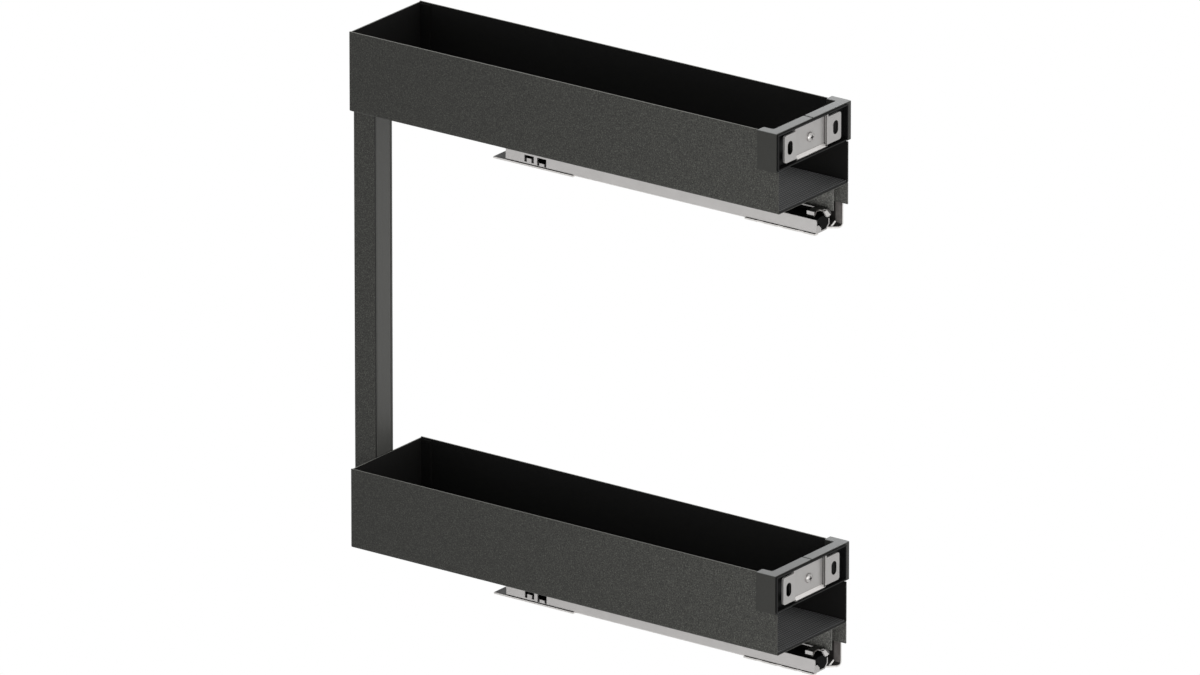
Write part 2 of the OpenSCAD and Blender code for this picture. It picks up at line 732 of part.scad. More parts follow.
// Wall angle: screws to the cabinet side and carries the fixed rail on its floor
module wall_angle(z) {
    foot_near = race_y - race_out - foot_reach;
    foot_far = race_y - race_out + 4;
    feet = [[angle_rear_x, angle_rear_x + rear_foot], [angle_front_x - front_foot, foot_front_x]];
    color(zinc) translate([0, 0, z]) difference() {
        union() {
            along_x(angle_rear_x, angle_front_x) angle_section();
            for (ends = feet)
                box([ends[0], foot_near, floor_z - angle_sheet], [ends[1], foot_far, floor_z]);
            // A lanced tab that stands up from the slope beside the runner's front
            translate([0, slope_far_y - tab_back, floor_z - angle_dip + tab_back * tan(slope_angle)])
                along_x(angle_front_x - 4, angle_front_x - 1.5) polygon([
                    [-1, -0.5], [0.8, -1], [tab_width, tab_rise], [tab_width - 0.9, tab_rise + 1.6],
                    [-1, 0.7]
                ]);
        }
        for (x = [0, -euro_pitch])
            y_cylinder(x, -angle_sheet - 1, 1, -hole_to_tray, euro_hole);
        for (x = [-wood_offset, -euro_pitch - wood_offset])
            y_cylinder(x, -angle_sheet - 1, 1, -hole_to_tray, wood_hole);
        for (x = rail_rivet_xs())
            translate([x, race_y, floor_z - angle_sheet - 1])
                cylinder(h = angle_sheet + 2, d = rivet_d + 2 * rivet_play);
        // Notches between the bumps along the front foot
        for (i = [0:2])
            box([angle_front_x - 16 - i * 22, foot_near - 1, floor_z - angle_sheet - 1],
                [angle_front_x - 10 - i * 22, foot_near + foot_reach - 0.2, floor_z + 1]);
    }
}

// Housing of the soft-close unit, open at the top and the front around the catch
module damper_housing(z) {
    dip_z = floor_z - angle_dip;
    rib_y = peg_y;
    rib_z = dip_z + (slope_far_y - rib_y) * tan(slope_angle) + 0.05;
    color(black) translate([0, 0, z]) difference() {
        union() {
            box([housing_rear_x, housing_near_y, housing_foot_z],
                [housing_front_x, housing_far_y, housing_top_z]);
            along_x(housing_rear_x, housing_front_x) polygon([
                [rib_y, rib_z], [slope_far_y, dip_z], [housing_far_y, dip_z],
                [housing_far_y, housing_foot_z + 0.01], [rib_y, housing_foot_z + 0.01]
            ]);
        }
        box([housing_rear_x + housing_wall, cavity_near_y, cavity_foot_z],
            [slot_rear_x + 0.01, cavity_far_y, housing_top_z - housing_wall]);
        box([slot_rear_x, cavity_near_y, cavity_foot_z],
            [housing_front_x + 1, cavity_far_y, housing_top_z + 1]);
    }
}

// Damper cylinder: a tube with a closed rear end and a gland for the rod
module damper_cylinder(z) {
    bore = damper_d - 2 * damper_wall;
    color(steel) translate([0, 0, z]) difference() {
        x_cylinder(damper_x, damper_x + damper_length, rod_y, rod_z, damper_d);
        x_cylinder(damper_x + 2, damper_x + damper_length - 4, rod_y, rod_z, bore);
        x_cylinder(damper_x + 3, damper_x + damper_length + 1, rod_y, rod_z, rod_d + 2 * rod_play);
    }
}

// Return spring beside the damper, a close-wound sleeve between the housing and the catch
module return_spring(z) {
    color(steel) translate([0, 0, z]) difference() {
        x_cylinder(damper_x, catch_x - 0.3, spring_y, rod_z, spring_d);
        x_cylinder(damper_x - 1, catch_x, spring_y, rod_z, spring_d - 1.6);
    }
}

// Catch that takes the peg over the last stretch of closing, with the damper's rod and piston
module catch(z) {
    foot_z = cavity_foot_z + catch_play / 2;
    seat_z = peg_foot_z - catch_play;
    near = cavity_near_y + catch_play;
    far = cavity_far_y - catch_play;
    bore = damper_d - 2 * damper_wall;
    color("goldenrod") translate([0, 0, z]) {
        box([catch_x, near, foot_z], [catch_x + catch_length, far, seat_z]);
        for (side = [-1, 1]) {
            inner = peg_y + side * (peg_d / 2 + catch_play);
            outer = inner + side * catch_wall;
            box([catch_x, min(inner, outer), seat_z - 0.01],
                [catch_x + catch_length, max(inner, outer), housing_top_z + 3]);
        }
        x_cylinder(damper_x + 9, catch_x, rod_y, rod_z, rod_d);
        x_cylinder(damper_x + 3, damper_x + 9, rod_y, rod_z, bore - 2 * rod_play);
    }
}

// Block in the hanger with the peg that the catch takes
module catch_peg(z) {
    near = hanger_near_y + hanger_sheet + 0.1;
    far = hanger_far_y - hanger_sheet - 0.1;
    block_foot = -hanger_depth + 3;
    color(black) translate([0, 0, z]) {
        along_x(peg_x - 10, peg_x + 10) polygon([
            [near, block_foot], [near, -hanger_sheet - 1], [near + 1, -hanger_sheet],
            [far - 1, -hanger_sheet], [far, -hanger_sheet - 1], [far, block_foot]
        ]);
        translate([peg_x, peg_y, peg_foot_z]) cylinder(h = block_foot - peg_foot_z, d = peg_d);
    }
}

// Frame pan across the open front: a shallow box with two tabs inside the tray's walls
module front_frame(z) {
    near = near_y + frame_play;
    far = far_y - frame_play;
    t = frame_sheet;
    inside_y = tray_sheet + 0.05;
    color(dark_coat) translate([0, 0, z]) difference() {
        union() {
            difference() {
                box([frame_back_x, near, frame_foot_z], [front_x, far, frame_top_z]);
                box([frame_back_x + t, near + t, frame_foot_z + t],
                    [front_x + 1, far - t, frame_top_z - t]);
            }
            for (y = [near_y + inside_y, far_y - inside_y - t])
                box([frame_back_x - frame_tab, y, frame_foot_z + 6],
                    [frame_back_x + t, y + t, frame_top_z - 6]);
        }
        x_cylinder(frame_back_x - 1, frame_back_x + t + 1, mid_y, plate_height, plate_screw_d + 0.2);
    }
}

// The outline of a corner cap seen from above, for the near cap; the far cap is a mirrored one
module cap_outline(proud, arm, offset, corner, inset) {
    outer = near_y - proud + inset;
    inner = near_y + arm;
    seam = mid_y + offset - cap_seam / 2 - 2.5 * inset;
    rail_rear = cap_front_x - cap_rail;
    difference() {
        polygon([
            [cap_rear_x + inset, outer], [cap_front_x - inset, outer], [cap_front_x - inset, seam],
            [rail_rear + inset, seam], [rail_rear + inset, inner - inset + corner],
            [rail_rear + inset - corner, inner - inset], [cap_rear_x + inset + 1, inner - inset],
            [cap_rear_x + inset, inner - inset - 1]
        ]);
        translate([rail_rear + inset - corner, inner - inset + corner]) circle(corner);
    }
}

// Corner cap: wraps the end of the tray's wall and the frame's side and top
module corner_cap(z, proud, arm, offset, corner) {
    skin = frame_play / 2;
    back = frame_back_x - frame_play;
    top = tray_height - trim_thickness;
    wall_in = near_y + tray_sheet + frame_sheet + 0.2;
    core = 1.6;
    color(dark_coat) translate([0, 0, z]) difference() {
        translate([0, 0, cap_foot_z])
            linear_extrude(top - cap_foot_z) cap_outline(proud, arm, offset, corner, 0);
        // Room for the frame pan, the tray's wall and the pan's tab
        box([back, near_y - skin, cap_foot_z - 1], [front_x, mid_y + 10, tray_height - cap_skin_z]);
        box([cap_rear_x - 1, near_y - skin, cap_foot_z - 1], [front_x, wall_in, tray_height - cap_skin_z]);
        // Room under the front rail, so that the tray stays open behind the frame
        box([cap_rear_x - 1, near_y + arm, cap_foot_z - 1], [back + 1, mid_y + 10, tray_height - 12]);
        // A wide cap is cored from below
        if (proud > 3 * core)
            box([cap_rear_x + core, near_y - proud + core, cap_foot_z - 1],
                [cap_front_x - core, near_y - core, top - 2 * core]);
    }
}

module near_outline(inset) {
    cap_outline(near_proud, near_arm, seam_offset, 2.5, inset);
}

module far_outline(inset) {
    cap_outline(far_proud, far_arm, -seam_offset, 0.6, inset);
}

// Thin trim plates on the top of both caps
module cap_trims(z) {
    inset = 0.3;
    color(trim_grey) translate([0, 0, z + tray_height - trim_thickness]) {
        linear_extrude(trim_thickness) near_outline(inset);
        translate([0, 2 * mid_y, 0]) mirror([0, 1, 0]) linear_extrude(trim_thickness) far_outline(inset);
    }
}

module near_cap(z) {
    corner_cap(z, near_proud, near_arm, seam_offset, 2.5);
}

module far_cap(z) {
    translate([0, 2 * mid_y, 0]) mirror([0, 1, 0]) corner_cap(z, far_proud, far_arm, -seam_offset, 0.6);
}

// Door plate: middle on the frame, ears stepped forward with a slot each, and a lower flange
module door_plate(z) {
    t = plate_sheet;
    near_in = near_ear - plate_width / 2;
    far_in = plate_width / 2 - far_ear;
    top_z = ear_foot_z + middle_height;
    relief = 1.6;
    color(zinc) translate([0, mid_y, z]) difference() {
        union() {
            box([plate_x, near_in - t, ear_foot_z], [plate_x + t, far_in + t, top_z]);
            along_x(ear_x, ear_x + t) {
                round_rect([-plate_width / 2, ear_foot_z], [near_in, ear_foot_z + ear_height], ear_corner);
                round_rect([far_in, ear_foot_z], [plate_width / 2, ear_foot_z + ear_height], ear_corner);
            }
            for (step = [near_in - t, far_in])
                box([plate_x, step, ear_foot_z], [ear_x + t, step + t, top_z]);
            along_y(-flange_length / 2, flange_length / 2) polygon([
                [plate_x, ear_foot_z], [plate_x + t, ear_foot_z + 1.4],
                [plate_x + t + plate_flange, ear_foot_z + 1.4 - plate_flange],
                [plate_x + t + plate_flange - 1, ear_foot_z - plate_flange], [plate_x, ear_foot_z - 1]
            ]);
        }
        along_x(ear_x - 1, ear_x + t + 1)
            for (side = [-1, 1]) slot(side * slot_spacing / 2, plate_height, slot_width, slot_length);
        x_cylinder(plate_x - 1, plate_x + t + 1, 0, plate_height, plate_screw_d + 0.2);
        // Bend relief beside the near step
        box([plate_x - 1, near_in, top_z - relief], [plate_x + t + 1, near_in + relief, top_z + 1]);
    }
}

// Pan-head screw with a cross recess, through the door plate and the frame
module plate_screw(z) {
    head_x = plate_x + plate_sheet;
    head_h = 2.6;
    r = plate_screw_head / 2;
    color(steel) translate([0, mid_y, z + plate_height]) {
        x_cylinder(frame_back_x - plate_screw_reach, head_x, 0, 0, plate_screw_d);
        difference() {
            translate([head_x, 0, 0]) rotate([0, 90, 0]) rotate_extrude()
                polygon([[0, 0], [r, 0], [r, 1], [r - 0.5, 1.8], [r - 1.7, 2.4], [0, head_h]]);
            for (turn = [0, 90])
                translate([head_x + head_h, 0, 0])
                    rotate([turn, 0, 0]) cube([3.2, r, plate_screw_head * 0.13], center = true);
        }
    }
}

// Outer channel of the column, open to the front
module column_channel() {
    t = column_sheet;
    front = rear_x - bracket_sheet;
    low_y = column_y - column_width / 2;
    color(coat) translate([0, 0, lower_z + column_foot]) linear_extrude(column_length) {
        translate([column_x, low_y]) square([t, column_width]);
        translate([column_x, low_y]) square([column_depth, t]);
        translate([column_x, low_y + column_width - t]) square([front - column_x, t]);
    }
}

// Inner channel of the column, its web to the front and tapped for the screws
module column_insert() {
    t = column_sheet;
    front = rear_x - bracket_sheet - 0.05;
    half = column_width / 2 - t - 0.05;
    r = column_bend;
    color([0.30, 0.30, 0.30]) difference() {
        translate([0, 0, lower_z + column_foot]) linear_extrude(column_length) difference() {
            channel_outline(front, half, r);
            channel_outline(front - t, half - t, r - t);
            translate([front - insert_depth - 10, column_y - half - 1]) square([10, 2 * half + 2]);
        }
        for (z = [lower_z, upper_z], up = [-1, 1])
            x_cylinder(front - t - 1, front + 1, column_y, z + bracket_z + up * bracket_pitch / 2,
                column_screw_d + 0.2);
    }
}

// The inner channel's plan, with its two front corners round
module channel_outline(front, half, r) {
    translate([front - insert_depth - 5, column_y - half]) square([insert_depth + 5 - r, 2 * half]);
    translate([front - r - 1, column_y - half + r]) square([r + 1, 2 * (half - r)]);
    for (side = [-1, 1])
        translate([front - r, column_y + side * (half - r)]) circle(r);
}

// Plates between the column and each tray's rear wall
module column_brackets() {
    color(coat) for (z = [lower_z, upper_z])
        along_x(rear_x - bracket_sheet, rear_x) difference() {
            round_rect([column_y - bracket_width / 2, z + bracket_z - bracket_height / 2],
                [column_y + bracket_width / 2, z + bracket_z + bracket_height / 2], 3);
            for (up = [-1, 1])
                translate([column_y, z + bracket_z + up * bracket_pitch / 2])
                    circle(d = column_screw_d + 0.4);
        }
}

// Screws from inside the trays into the column
module column_screws() {
    head_x = rear_x + tray_sheet;
    top_x = head_x + column_screw_head;
    d = column_screw_d;
    color(steel) for (z = [lower_z, upper_z], up = [-1, 1]) {
        screw_z = z + bracket_z + up * bracket_pitch / 2;
        x_cylinder(
            rear_x - bracket_sheet - column_sheet - column_screw_reach, head_x, column_y, screw_z, d
        );
        difference() {
            x_cylinder(head_x, top_x, column_y, screw_z, 2 * d);
            for (turn = [0, 90])
                translate([top_x, column_y, screw_z])
                    rotate([turn, 0, 0]) cube([column_screw_head, d, d / 4], center = true);
        }
    }
}

tray_shell(lower_z);  // lower_tray_shell
tray_rear_wall(lower_z);  // lower_tray_rear_wall
tray_mat(lower_z);  // lower_tray_mat
hanger(lower_z);  // lower_hanger
rail_carrier(lower_z);  // lower_rail_carrier
carrier_rivets(lower_z);  // lower_carrier_rivets
tray_rail(lower_z);  // lower_tray_rail
ball_cage(lower_z, tray_cage_x, 1);  // lower_tray_cage
ball_set(lower_z, tray_cage_x, 1);  // lower_tray_balls
middle_rail(lower_z);  // lower_middle_rail
middle_nose(lower_z);  // lower_middle_nose
ball_cage(lower_z, wall_cage_x, -1);  // lower_wall_cage
ball_set(lower_z, wall_cage_x, -1);  // lower_wall_balls
fixed_rail(lower_z);  // lower_fixed_rail
wall_angle(lower_z);  // lower_wall_angle
rail_rivets(lower_z);  // lower_rail_rivets
damper_housing(lower_z);  // lower_damper_housing
damper_cylinder(lower_z);  // lower_damper_cylinder
return_spring(lower_z);  // lower_return_spring
catch(lower_z);  // lower_catch
catch_peg(lower_z);  // lower_catch_peg
front_frame(lower_z);  // lower_front_frame
near_cap(lower_z);  // lower_near_cap
far_cap(lower_z);  // lower_far_cap
cap_trims(lower_z);  // lower_cap_trims
door_plate(lower_z);  // lower_door_plate
plate_screw(lower_z);  // lower_plate_screw
tray_shell(upper_z);  // upper_tray_shell
tray_rear_wall(upper_z);  // upper_tray_rear_wall
tray_mat(upper_z);  // upper_tray_mat
hanger(upper_z);  // upper_hanger
rail_carrier(upper_z);  // upper_rail_carrier
carrier_rivets(upper_z);  // upper_carrier_rivets
tray_rail(upper_z);  // upper_tray_rail
ball_cage(upper_z, tray_cage_x, 1);  // upper_tray_cage
ball_set(upper_z, tray_cage_x, 1);  // upper_tray_balls
middle_rail(upper_z);  // upper_middle_rail
middle_nose(upper_z);  // upper_middle_nose
ball_cage(upper_z, wall_cage_x, -1);  // upper_wall_cage
ball_set(upper_z, wall_cage_x, -1);  // upper_wall_balls
fixed_rail(upper_z);  // upper_fixed_rail
wall_angle(upper_z);  // upper_wall_angle
rail_rivets(upper_z);  // upper_rail_rivets
damper_housing(upper_z);  // upper_damper_housing
damper_cylinder(upper_z);  // upper_damper_cylinder
return_spring(upper_z);  // upper_return_spring
catch(upper_z);  // upper_catch
catch_peg(upper_z);  // upper_catch_peg
front_frame(upper_z);  // upper_front_frame
near_cap(upper_z);  // upper_near_cap
far_cap(upper_z);  // upper_far_cap
cap_trims(upper_z);  // upper_cap_trims
door_plate(upper_z);  // upper_door_plate
plate_screw(upper_z);  // upper_plate_screw
column_channel();
column_insert();
column_brackets();
column_screws();
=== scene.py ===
"""Pull-out cabinet rack: two speckled grey steel trays, joined by a column behind them, on ball
runners. Every length is in metres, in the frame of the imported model: +X out of the cabinet, +Y
towards the cabinet side, +Z up."""

import math

import bpy
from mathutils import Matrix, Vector


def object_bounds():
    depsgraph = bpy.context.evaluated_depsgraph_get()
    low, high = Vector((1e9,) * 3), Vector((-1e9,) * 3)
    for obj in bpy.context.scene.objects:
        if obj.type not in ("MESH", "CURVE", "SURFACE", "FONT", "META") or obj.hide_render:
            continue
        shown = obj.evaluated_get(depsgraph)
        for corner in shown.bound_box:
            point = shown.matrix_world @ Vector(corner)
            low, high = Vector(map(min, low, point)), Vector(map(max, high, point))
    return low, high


# The view: a very long lens that looks at a point between the trays, 36 degrees round from the
# trays' near side and 20 degrees above the horizon.
scene = bpy.context.scene
azimuth = math.radians(36.17)
elevation = math.radians(19.77)
view_distance = 19.636
aim = Vector((-0.1957, -0.05935, 0.2489))
towards_camera = Vector((
    math.sin(azimuth) * math.cos(elevation),
    -math.cos(azimuth) * math.cos(elevation),
    math.sin(elevation),
))
camera = bpy.data.objects.new("camera", bpy.data.cameras.new("camera"))
camera.data.lens = 662.7
camera.data.sensor_width = 36
camera.data.clip_end = 100
camera.location = aim + view_distance * towards_camera
camera.rotation_euler = (-towards_camera).to_track_quat("-Z", "Y").to_euler()
scene.collection.objects.link(camera)
scene.camera = camera
scene.view_settings.view_transform = "Standard"

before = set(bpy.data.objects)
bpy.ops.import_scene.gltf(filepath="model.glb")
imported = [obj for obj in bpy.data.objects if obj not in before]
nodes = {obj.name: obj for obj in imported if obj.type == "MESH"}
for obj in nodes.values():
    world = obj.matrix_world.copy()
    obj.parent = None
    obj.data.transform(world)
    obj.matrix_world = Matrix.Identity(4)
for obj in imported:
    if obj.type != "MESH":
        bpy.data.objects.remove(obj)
cad_low, cad_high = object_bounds()

# The floor: a round pale sheet under the rack, white to the camera and to what metal reflects,
# which still takes the light and the rack's shadow.
floor_drop = 0.04
floor_radius = 8
floor_sides = 64
floor_color = (0.9, 0.9, 0.9, 1)
floor_roughness = 0.9


def put(tree, kind, **values):
    """A new shader node with some of its inputs set."""
    node = tree.nodes.new("ShaderNode" + kind)
    for name, value in values.items():
        node.inputs[name.replace("_", " ")].default_value = value
    return node


def reckon(tree, operation, *values):
    """The result of a Math node; each value is a number or another node's socket."""
    node = put(tree, "Math")
    node.operation = operation
    for socket, value in zip(node.inputs, values):
        if isinstance(value, (int, float)):
            socket.default_value = value
        else:
            tree.links.new(value, socket)
    return node.outputs[0]


def show_white(tree, plain, output):
    """Shows plain white to rays from the camera, a reflection or something clear, and the plain
    shader to all others."""
    rays = put(tree, "LightPath").outputs
    seen = reckon(tree, "MAXIMUM", rays["Is Camera Ray"], rays["Is Transmission Ray"])
    seen = reckon(tree, "MAXIMUM", seen, rays["Is Glossy Ray"])
    white = put(tree, "Emission")
    mix = put(tree, "MixShader")
    tree.links.new(seen, mix.inputs[0])
    tree.links.new(plain.outputs[0], mix.inputs[1])
    tree.links.new(white.outputs[0], mix.inputs[2])
    tree.links.new(mix.outputs[0], output.inputs["Surface"])


def make_floor():
    """The floor's mesh and its material."""
    height = cad_low.z - floor_drop
    turns = [side * math.tau / floor_sides for side in range(floor_sides)]
    ring = [
        (floor_radius * math.cos(turn), floor_radius * math.sin(turn), height) for turn in turns
    ]
    mesh = bpy.data.meshes.new("floor")
    mesh.from_pydata(ring, [], [list(range(floor_sides))])
    floor = bpy.data.objects.new("floor", mesh)
    scene.collection.objects.link(floor)
    material = bpy.data.materials.new("pale floor")
    material.use_nodes = True
    tree = material.node_tree
    surface = tree.nodes["Principled BSDF"]
    surface.inputs["Base Color"].default_value = floor_color
    surface.inputs["Roughness"].default_value = floor_roughness
    show_white(tree, surface, tree.nodes["Material Output"])
    mesh.materials.append(material)


make_floor()

# The studio: dim even light all round, a big panel overhead, a low panel at the near front corner,
# level with the rack so that the trays stay dark inside, and a weak panel in front.
studio_light = 0.33
panels = (
    # name, place, size, watts
    ("overhead panel", (-0.3, 0.2, 3.2), 2.2, 46),
    ("near panel", (0.75, -0.95, 0.2), 0.9, 7.4),
    ("front panel", (3.0, -0.3, 0.6), 1.6, 20),
)


def make_studio():
    """Even grey light for the surfaces, white for the camera and for what metal reflects."""
    world = bpy.data.worlds.new("studio")
    world.use_nodes = True
    scene.world = world
    tree = world.node_tree
    tree.nodes.clear()
    dim = put(tree, "Background", Color=(1, 1, 1, 1), Strength=studio_light)
    show_white(tree, dim, put(tree, "OutputWorld"))


def add_panel(name, place, size, watts):
    """A square light panel that faces the middle of the rack."""
    data = bpy.data.lights.new(name, "AREA")
    data.size = size
    data.energy = watts
    panel = bpy.data.objects.new(name, data)
    panel.location = place
    panel.rotation_euler = (aim - Vector(place)).to_track_quat("-Z", "Y").to_euler()
    scene.collection.objects.link(panel)


make_studio()
for values in panels:
    add_panel(*values)

# Trays: floors and side walls folded from sheet steel, with a rear wall spot-welded in. One
# textured powder coat, mid grey with lighter and darker grains. It is painted darker towards the
# rear as shade, painted nearly black inside as the shade there, and the rims' tops are painted
# lighter as a highlight.
tray_near = -0.1125
tray_far = -0.0065
tray_rear = -0.433
tray_front = 0.037
tray_foot = 0.014
tray_rim = 0.089
level_pitch = 0.414
wall_skin = 0.0008
floor_skin = 0.0003
soft_edge = 0.0003
rim_depth = 0.001
square_on = (0.6, 0.8)
coat_base = (0.052, 0.052, 0.0475)
coat_light = (0.125, 0.128, 0.113)
coat_dark = (0.022, 0.022, 0.020)
coat_inside_shade = (0.0052, 0.0050, 0.0047)
coat_rim_highlight = (0.20, 0.20, 0.185)
coat_rear_shade = 0.42
coat_grains = {"scale": 900, "height": 0.6, "gloss": 0.42}
light_grains = (0.53, 0.66)
dark_grains = (0.47, 0.36)
grain_gloss = 0.3
grain_rise = 0.0002


def add_sockets(group, given, made):
    """Named inputs and outputs of a shader group; C is a colour, F a number, V a vector."""
    kinds = {"C": "NodeSocketColor", "F": "NodeSocketFloat", "V": "NodeSocketVector"}
    for direction, sockets in (("INPUT", given), ("OUTPUT", made)):
        for name, kind in sockets:
            group.interface.new_socket(name=name, in_out=direction, socket_type=kinds[kind])


def blend(tree, factor, first, second):
    """Mixes two colours by a factor; each is a colour or another node's socket."""
    mix = put(tree, "Mix")
    mix.data_type = "RGBA"
    tree.links.new(factor, mix.inputs["Factor"])
    for name, color in (("A", first), ("B", second)):
        if isinstance(color, tuple):
            mix.inputs[name].default_value = (*color, 1)
        else:
            tree.links.new(color, mix.inputs[name])
    return mix.outputs["Result"]


def ramp(tree, value, start, end, low=0, high=1):
    """A level that goes from low at the start to high at the end, and stays there outside."""
    level = put(tree, "MapRange", From_Min=start, From_Max=end, To_Min=low, To_Max=high)
    tree.links.new(value, level.inputs["Value"])
    return level.outputs["Result"]


def all_of(tree, *masks):
    """The product of several masks."""
    product = masks[0]
    for mask in masks[1:]:
        product = reckon(tree, "MULTIPLY", product, mask)
    return product


def point_parts(tree):
    """A point's place and its face's direction, each split into X, Y and Z."""
    point = put(tree, "TexCoord")
    where = put(tree, "SeparateXYZ")
    look = put(tree, "SeparateXYZ")
    tree.links.new(point.outputs["Object"], where.inputs[0])
    tree.links.new(point.outputs["Normal"], look.inputs[0])
    return where.outputs, look.outputs


def one_level(tree, height, lowest=0):
    """A height of either level, folded onto the lower level's stretch from a lowest height up."""
    return reckon(tree, "WRAP", height, lowest + level_pitch, lowest)


def build_powder():
    """Powder coat: grains of two tones over a base colour, with the grains' gloss and height."""
    group = bpy.data.node_groups.new("powder grains", "ShaderNodeTree")
    add_sockets(
        group,
        (
            ("Base", "C"), ("Light", "C"), ("Dark", "C"),
            ("Scale", "F"), ("Height", "F"), ("Gloss", "F"),
        ),
        (("Color", "C"), ("Roughness", "F"), ("Normal", "V")),
    )
    link = group.links.new
    given = group.nodes.new("NodeGroupInput").outputs
    made = group.nodes.new("NodeGroupOutput").inputs
    grains = put(group, "TexNoise", Detail=2.5, Roughness=0.75)
    link(put(group, "TexCoord").outputs["Object"], grains.inputs["Vector"])
    link(given["Scale"], grains.inputs["Scale"])
    grain = grains.outputs["Fac"]
    color = blend(group, ramp(group, grain, *light_grains), given["Base"], given["Light"])
    color = blend(group, ramp(group, grain, *dark_grains), color, given["Dark"])
    link(color, made["Color"])
    link(reckon(group, "MULTIPLY_ADD", grain, grain_gloss, given["Gloss"]), made["Roughness"])
    bump = put(group, "Bump", Distance=grain_rise)
    link(given["Height"], bump.inputs["Strength"])
    link(grain, bump.inputs["Height"])
    link(bump.outputs["Normal"], made["Normal"])
    return group


def build_inside():
    """One on the faces inside a tray, nought on its outside and its rim."""
    group = bpy.data.node_groups.new("inside of a tray", "ShaderNodeTree")
    add_sockets(group, (), (("Mask", "F"),))
    where = point_parts(group)[0]
    inner_rear = tray_rear + floor_skin
    inner_near = tray_near + wall_skin
    inner_far = tray_far - wall_skin
    inner_foot = tray_foot + floor_skin
    mask = all_of(
        group,
        ramp(group, where["X"], inner_rear, inner_rear + soft_edge),
        ramp(group, where["Y"], inner_near, inner_near + soft_edge),
        ramp(group, where["Y"], inner_far, inner_far - soft_edge),
        ramp(group, one_level(group, where["Z"]), inner_foot, inner_foot + soft_edge),
    )
    group.links.new(mask, group.nodes.new("NodeGroupOutput").inputs["Mask"])
    return group


def new_material(name, group, values, metallic, specular):
    """A material whose colour, roughness and normal come from a shader group."""
    material = bpy.data.materials.new(name)
    material.use_nodes = True
    tree = material.node_tree
    surface = tree.nodes["Principled BSDF"].inputs
    surface["Metallic"].default_value = metallic
    surface["Specular IOR Level"].default_value = specular
    finish = put(tree, "Group")
    finish.node_tree = group
    for socket, value in values.items():
        finish.inputs[socket].default_value = (*value, 1) if isinstance(value, tuple) else value
    for made, taken in (("Color", "Base Color"), ("Roughness", "Roughness"), ("Normal", "Normal")):
        tree.links.new(finish.outputs[made], surface[taken])
    return material


powder = build_powder()
inside = build_inside()


def powder_coat(name, base, light, dark, scale, height, gloss, specular):
    """A coated or moulded finish with fine grains."""
    values = {
        "Base": base, "Light": light, "Dark": dark,
        "Scale": scale, "Height": height, "Gloss": gloss,
    }
    return new_material(name, powder, values, metallic=0, specular=specular)


def dress(names, material):
    """Gives a finish to CAD nodes of both levels, or to single nodes of the column."""
    for name in names:
        for node in (nodes.get("lower_" + name), nodes.get("upper_" + name), nodes.get(name)):
            if node is None:
                continue
            node.data.materials.clear()
            node.data.materials.append(material)
            for face in node.data.polygons:
                face.material_index = 0


def paint(material, mask, color):
    """Paints a material in another colour where a mask of its own tree is one."""
    tree = material.node_tree
    base = tree.nodes["Principled BSDF"].inputs["Base Color"]
    tree.links.new(blend(tree, mask, base.links[0].from_socket, color), base)


def paint_within(material, group, color):
    """Paints a material in another colour where a group's mask is one."""
    within = put(material.node_tree, "Group")
    within.node_tree = group
    paint(material, within.outputs["Mask"], color)


tray_coat = powder_coat(
    "textured grey powder coat", coat_base, coat_light, coat_dark, specular=0.2, **coat_grains,
)
tree = tray_coat.node_tree
where, look = point_parts(tree)
# Painted shade: the coat grows darker towards the rear of the tray, where less light falls.
paint(tray_coat, ramp(tree, where["X"], tray_front, tray_rear, high=coat_rear_shade), coat_dark)
# Painted shade: the faces inside the tray are nearly black.
paint_within(tray_coat, inside, coat_inside_shade)
# Painted highlight: the upward faces at the top of the rims are lighter.
lit_rim_top = all_of(
    tree,
    ramp(tree, look["Z"], *square_on),
    ramp(tree, one_level(tree, where["Z"]), tray_rim - rim_depth, tray_rim - rim_depth / 2),
)
paint(tray_coat, lit_rim_top, coat_rim_highlight)
dress(["tray_shell", "tray_rear_wall"], tray_coat)

# Hangers: channels folded from the same sheet and welded under the trays, where the coat lies
# thinner and a shade lighter.
hanger_coat = powder_coat(
    "thin grey powder coat", (0.110, 0.110, 0.102), (0.26, 0.26, 0.24), (0.045, 0.045, 0.042),
    specular=0.3, **coat_grains,
)
dress(["hanger"], hanger_coat)

# The column's outer channel with its two plates: folded sheet in the trays' powder coat, screwed
# to the trays' rear walls. The far flange's front edge and inner face are painted lighter as
# highlights, and the near flange's front edge is painted nearly black as the shadow in the gap.
channel_base = (0.047, 0.047, 0.043)
channel_light = (0.115, 0.118, 0.104)
channel_edge_highlight = (0.080, 0.080, 0.075)
channel_inner_face_highlight = (0.15, 0.15, 0.14)
channel_gap_shadow = (0.004, 0.004, 0.004)
far_flange = (-0.0500, -0.0498)
near_flange = (-0.0724, -0.0727)
channel_coat = powder_coat(
    "textured grey powder coat on the column", channel_base, channel_light, coat_dark,
    specular=0.2, **coat_grains,
)
tree = channel_coat.node_tree
where, look = point_parts(tree)
forward = ramp(tree, look["X"], *square_on)
nearward = ramp(tree, look["Y"], -square_on[0], -square_on[1])
on_far_flange = ramp(tree, where["Y"], *far_flange)
on_near_flange = ramp(tree, where["Y"], *near_flange)
# Painted highlights on the far flange, and painted shadow on the near flange's front edge.
paint(channel_coat, all_of(tree, forward, on_far_flange), channel_edge_highlight)
paint(channel_coat, all_of(tree, nearward, on_far_flange), channel_inner_face_highlight)
paint(channel_coat, all_of(tree, forward, on_near_flange), channel_gap_shadow)
dress(["column_channel", "column_brackets"], channel_coat)

# The column's inner channel: rolled steel that closes the outer channel's open side, in a smooth
# coat a shade lighter than the trays.
insert_coat = powder_coat(
    "smooth grey powder coat", (0.079, 0.079, 0.074), (0.093, 0.093, 0.087), (0.067, 0.067, 0.063),
    scale=1200, height=0.15, gloss=0.30, specular=0.25,
)
dress(["column_insert"], insert_coat)
